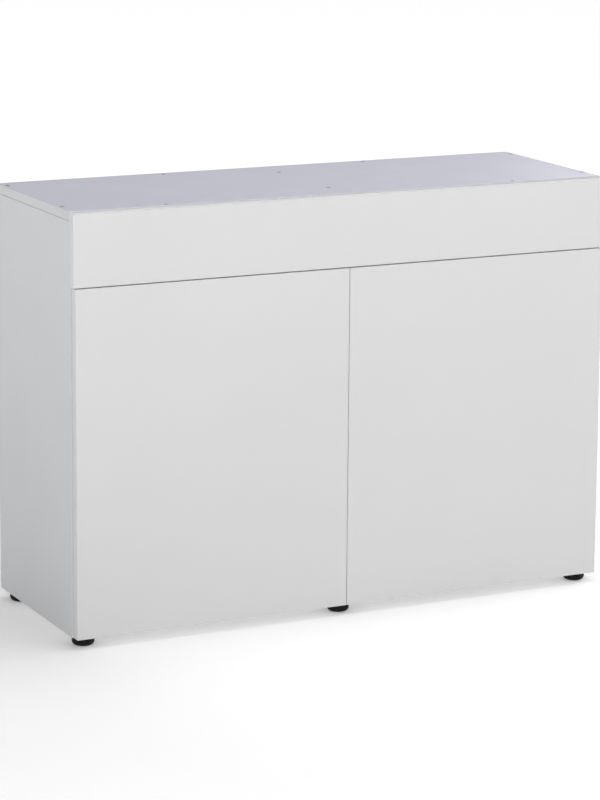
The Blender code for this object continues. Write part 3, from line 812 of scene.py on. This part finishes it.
def ring_prism(outer, inner, low, high):
    """A flat ring between two outlines of the same number of points."""
    bm = bmesh.new()
    loops = []
    for outline, z in ((outer, low), (outer, high), (inner, high), (inner, low)):
        loops.append([bm.verts.new((x, y, z)) for x, y in outline])
    count = len(outer)
    for first, second in zip(loops, loops[1:] + loops[:1]):
        for step in range(count):
            after = (step + 1) % count
            bm.faces.new((first[step], first[after], second[after], second[step]))
    return bm


def cutout_trims():
    """Snap-in edge trim round each hose cut-out: a lip on the inner face and a sleeve through the panel."""
    low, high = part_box("back_panel")
    bay = (SIDE_FACE + 9.5 * MM) / 2
    level = CAD_BOX[1].z - 200 * MM
    through = high.y - low.y
    outer = rounded_rectangle(133 * MM, 58 * MM, 28 * MM, 10)
    waist = rounded_rectangle(129.7 * MM, 54.7 * MM, 24.7 * MM, 10)
    inner = rounded_rectangle(128 * MM, 53 * MM, 23 * MM, 10)
    for side, sign in SIDES.items():
        lip = ring_prism(outer, inner, -through - 1.2 * MM, -through - 0.1 * MM)
        sleeve = ring_prism(waist, inner, -through - 0.6 * MM, -0.1 * MM)
        bm = merged(lip, sleeve)
        orient(bm, "Y")
        moved(bm, (sign * bay, high.y, level))
        trim = make_object(f"{side}_cutout_trim", bm, TRIM)
        soften = trim.modifiers.new("soften", "BEVEL")
        soften.width = 0.3 * MM
        soften.segments = 2
        stand_for(trim, CARCASS, "grey_plastic")


CAM_TURN = 20                # degrees, from upright to the tightened cam's slot


def cam_covers():
    """Cam fittings in the inner faces of the front rails, where they meet the side panels and divider."""
    covers = []
    disc = [(0, -2 * MM), (7.5 * MM, -2 * MM), (7.5 * MM, 0.1 * MM), (7.0 * MM, 0.4 * MM), (0, 0.4 * MM)]
    for side in SIDES:
        low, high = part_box(f"front_rail_{side}")
        for x in (low.x + 24 * MM, high.x - 24 * MM):
            for z in (low.z + 32 * MM, high.z - 32 * MM):
                cover = make_object("cover", lathe(disc, 40, (x, high.y, z), "Y"), ZINC)
                for turn in (0, 90):
                    slot_tool = prism(rounded_rectangle(4.0 * MM, 0.8 * MM, 0.3 * MM, 2), -1.2 * MM, 2 * MM)
                    matrix = Matrix.Rotation(math.radians(turn + CAM_TURN), 3, "Z")
                    bmesh.ops.rotate(slot_tool, verts=slot_tool.verts, matrix=matrix)
                    orient(slot_tool, "Y")
                    carve(cover, moved(slot_tool, (x, high.y, z)))
                covers.append(cover)
    stand_for(join("front_rail_cams", covers), CARCASS, "zinc")


# -------------------------------------------------------------------------------- camera and studio

CAMERA_AIM = Vector((0.007, 0.032, 0.619))
CAMERA_DISTANCE = 6.4
CAMERA_AZIMUTH = -26.20      # degrees, from straight in front towards the viewer's right
CAMERA_ELEVATION = 10.72
CAMERA_ROLL = 0.44
CAMERA_LENS = 137.3
CAMERA_SHIFT = -0.125


def camera():
    """Long-lens view from the cabinet's front left, a little above it."""
    azimuth, elevation = math.radians(CAMERA_AZIMUTH), math.radians(CAMERA_ELEVATION)
    back = Vector((
        math.sin(azimuth) * math.cos(elevation),
        -math.cos(azimuth) * math.cos(elevation),
        math.sin(elevation),
    ))
    data = bpy.data.cameras.new("camera")
    data.lens = CAMERA_LENS
    data.sensor_width = 36
    data.shift_y = CAMERA_SHIFT
    data.clip_end = 100
    obj = bpy.data.objects.new("camera", data)
    obj.rotation_mode = "QUATERNION"
    obj.location = CAMERA_AIM + back * CAMERA_DISTANCE
    roll = Quaternion((0, 0, 1), math.radians(CAMERA_ROLL))
    obj.rotation_quaternion = (-back).to_track_quat("-Z", "Y") @ roll
    bpy.context.scene.collection.objects.link(obj)
    bpy.context.scene.camera = obj


LIGHT_AIM = Vector((0, 0, 0.45))
LIGHTS = (                   # name, place in metres, size in metres, power in watts
    ("key_light", (-2.6, -4.0, 2.6), 1.0, 45),
    ("front_right_light", (2.4, -2.6, 3.2), 1.8, 19),
    ("right_light", (5.0, 0.6, 2.4), 3.4, 95),
    ("back_right_light", (4.6, 3.6, 2.2), 3.6, 33),
    ("top_light", (0.2, -0.2, 4.2), 3.0, 91),
)


def area_light(name, place, size, power):
    """A square soft light that looks at the middle of the cabinet."""
    data = bpy.data.lights.new(name, "AREA")
    data.shape = "SQUARE"
    data.size = size
    data.energy = power
    obj = bpy.data.objects.new(name, data)
    obj.location = place
    obj.rotation_mode = "QUATERNION"
    obj.rotation_quaternion = (LIGHT_AIM - Vector(place)).to_track_quat("-Z", "Y")
    bpy.context.scene.collection.objects.link(obj)


def studio():
    """Pale floor, white surroundings and five soft lights."""
    bm = bmesh.new()
    bmesh.ops.create_grid(bm, x_segments=24, y_segments=24, size=15)
    floor = make_object("studio_floor", bm, floor_material())
    bpy.context.scene.world = sky()
    bpy.context.scene.view_settings.view_transform = "Standard"
    for name, place, size, power in LIGHTS:
        area_light(name, place, size, power)


def sky():
    """Surroundings that are bright at the horizon, like the floor, and dim overhead."""
    world = bpy.data.worlds.new("studio")
    world.use_nodes = True
    nodes = world.node_tree.nodes
    links = world.node_tree.links
    coords = nodes.new("ShaderNodeTexCoord")
    split = nodes.new("ShaderNodeSeparateXYZ")
    ramp = nodes.new("ShaderNodeMapRange")
    ramp.interpolation_type = "SMOOTHSTEP"
    ramp.inputs["From Min"].default_value = 0.10
    ramp.inputs["From Max"].default_value = 0.30
    ramp.inputs["To Min"].default_value = HORIZON_GLOW
    ramp.inputs["To Max"].default_value = OVERHEAD_GLOW
    background = nodes["Background"]
    background.inputs["Color"].default_value = (1, 1, 1, 1)
    links.new(coords.outputs["Generated"], split.inputs["Vector"])
    links.new(split.outputs["Z"], ramp.inputs["Value"])
    links.new(ramp.outputs["Result"], background.inputs["Strength"])
    return world


dress_boards()
top_panel()
back_panel()
top_screws()
feet()
hinges()
latches()
bumpers()
shelf_pins()
cutout_trims()
cam_covers()
camera()
studio()
